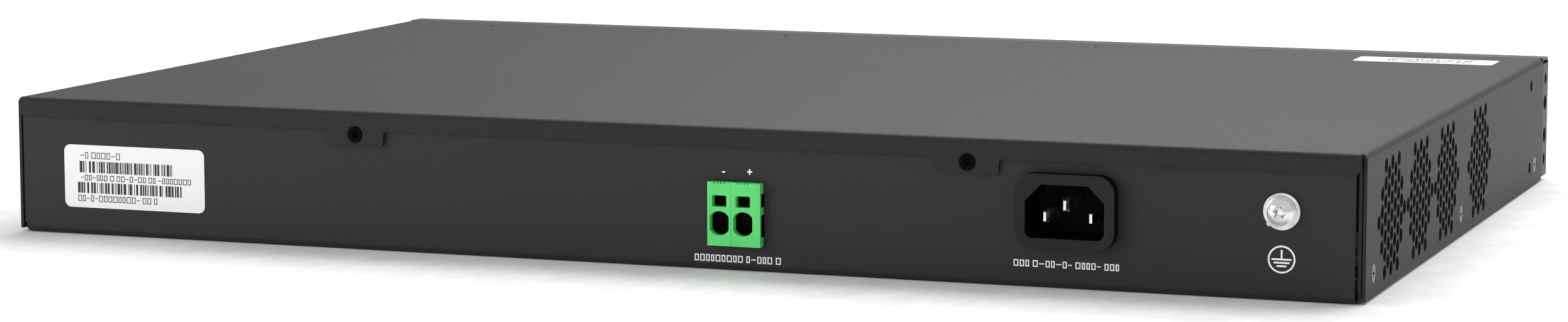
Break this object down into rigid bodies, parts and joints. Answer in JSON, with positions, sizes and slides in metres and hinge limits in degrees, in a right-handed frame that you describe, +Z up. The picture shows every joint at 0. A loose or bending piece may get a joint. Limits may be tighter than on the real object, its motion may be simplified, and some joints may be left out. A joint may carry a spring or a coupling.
{
  "type": "rackmount network switch",
  "caption": "One-unit rackmount network switch: folded sheet-metal chassis with side vents, port row in front, mains inlet, DC terminal plug and earth screw behind.",
  "frame": {"origin": "centre of the chassis footprint on the underside of the base pan", "axes": "+X across the width, to the left of someone facing the rear panel; +Y out of the rear panel; the ports face -Y; +Z up"},
  "size_m": [0.44, 0.3082, 0.0437],
  "materials": {
    "cover_paint": "fine-textured satin powder coat, charcoal",
    "pan_paint": "fine-textured satin powder coat, near-black",
    "panel_paint": "fine-textured satin powder coat, near-black",
    "plain_screw": "bright nickel-plated steel",
    "painted_screw": "painted with the cover",
    "black_screw": "black oxide",
    "zinc": "bright zinc plate",
    "inlet_plastic": "moulded black nylon, fine satin",
    "blade_metal": "nickel-plated brass",
    "terminal_green": "moulded green nylon, satin",
    "label_white": "printed white polyester label",
    "board_green": "solder-masked glass-epoxy board",
    "board_tan": "uncoated epoxy board",
    "jack_plastic": "moulded black thermoplastic",
    "shield_metal": "tin-plated sheet",
    "gold_contact": "gold-plated spring contacts",
    "lens": "clear moulded light pipe",
    "led_body": "small lamp body",
    "chip_black": "moulded epoxy chip package",
    "heatsink_metal": "extruded aluminium",
    "capacitor_sleeve": "shrink sleeve",
    "copper_winding": "enamelled copper winding",
    "ferrite": "pressed ferrite",
    "transformer_tape": "polyester winding tape",
    "connector_white": "moulded nylon connector",
    "sheet_plastic": "translucent insulating film",
    "fuse_body": "moulded fuse body",
    "fan_plastic": "moulded black fan plastic",
    "wire_brown": "insulated wire",
    "wire_red": "insulated wire",
    "wire_black": "insulated wire"
  },
  "bodies": {
    "chassis": {"base_pan": "pan_paint", "front_panel": "panel_paint", "top_cover": "cover_paint", "cover_side_screws": "plain_screw", "cover_top_screws": "painted_screw", "cover_tab_screws": "black_screw", "rear_press_nuts": "zinc", "front_panel_screws": "plain_screw", "inlet_body": "inlet_plastic", "inlet_pins": "blade_metal", "dc_header": "terminal_green", "dc_header_pins": "blade_metal", "ground_nut": "zinc", "rear_label": "label_white", "top_label": "label_white", "main_board": "board_green", "board_standoffs": "zinc", "board_screws": "plain_screw", "rj45_block_1": "jack_plastic", "rj45_block_2": "jack_plastic", "rj45_block_3": "jack_plastic", "rj45_shields": "shield_metal", "rj45_contacts": "gold_contact", "console_jack": "jack_plastic", "console_contacts": "gold_contact", "sfp_cage": "shield_metal", "sfp_connectors": "jack_plastic", "light_pipes": "lens", "status_leds": "led_body", "lan_magnetics": "chip_black", "switch_chip": "chip_black", "switch_heatsink": "heatsink_metal", "phy_chips": "chip_black", "memory_chips": "chip_black", "board_capacitors": "capacitor_sleeve", "power_inductors": "ferrite", "harness_connectors": "connector_white", "psu_board": "board_tan", "insulation_sheet": "sheet_plastic", "power_transformer": "transformer_tape", "bulk_capacitors": "capacitor_sleeve", "output_capacitors": "capacitor_sleeve", "psu_heatsinks": "heatsink_metal", "power_transistors": "chip_black", "emi_choke": "copper_winding", "dc_input_board": "board_green", "dc_fuse": "fuse_body", "fan_frame_1": "fan_plastic", "fan_frame_2": "fan_plastic", "fan_stators": "copper_winding", "fan_screws": "plain_screw", "mains_wires": "wire_brown", "dc_wires": "wire_red", "fan_leads": "wire_black"},
    "fan_rotor_1": {"fan_rotor_1": "fan_plastic"},
    "fan_rotor_2": {"fan_rotor_2": "fan_plastic"},
    "dc_plug": {"dc_plug": "terminal_green", "dc_plug_contacts": "blade_metal"},
    "ground_washers": {"ground_washers": "zinc"},
    "ground_screw": {"ground_screw": "plain_screw"}
  },
  "joints": [
    {"name": "fan_1_spin", "type": "hinge", "parent": "chassis", "child": "fan_rotor_1", "pos_m": [0.1974, 0.1153, 0.0214], "axis": [1, 0, 0], "continuous": true},
    {"name": "fan_2_spin", "type": "hinge", "parent": "chassis", "child": "fan_rotor_2", "pos_m": [0.1974, 0.0317, 0.0214], "axis": [1, 0, 0], "continuous": true},
    {"name": "dc_plug_pull", "type": "slide", "parent": "chassis", "child": "dc_plug", "axis": [0, 1, 0], "range_m": [0, 0.025]},
    {"name": "earth_screw_lift", "type": "slide", "parent": "chassis", "child": "ground_washers", "axis": [0, 1, 0], "range_m": [0, 0.0035]},
    {"name": "earth_screw_turn", "type": "hinge", "parent": "ground_washers", "child": "ground_screw", "pos_m": [-0.1956, 0.1513, 0.026], "axis": [0, 1, 0], "range_deg": [0, 1800]}
  ],
  "couplings": [
    {"joint": "earth_screw_turn", "follows": "earth_screw_lift", "rad_per_m": 8976}
  ]
}
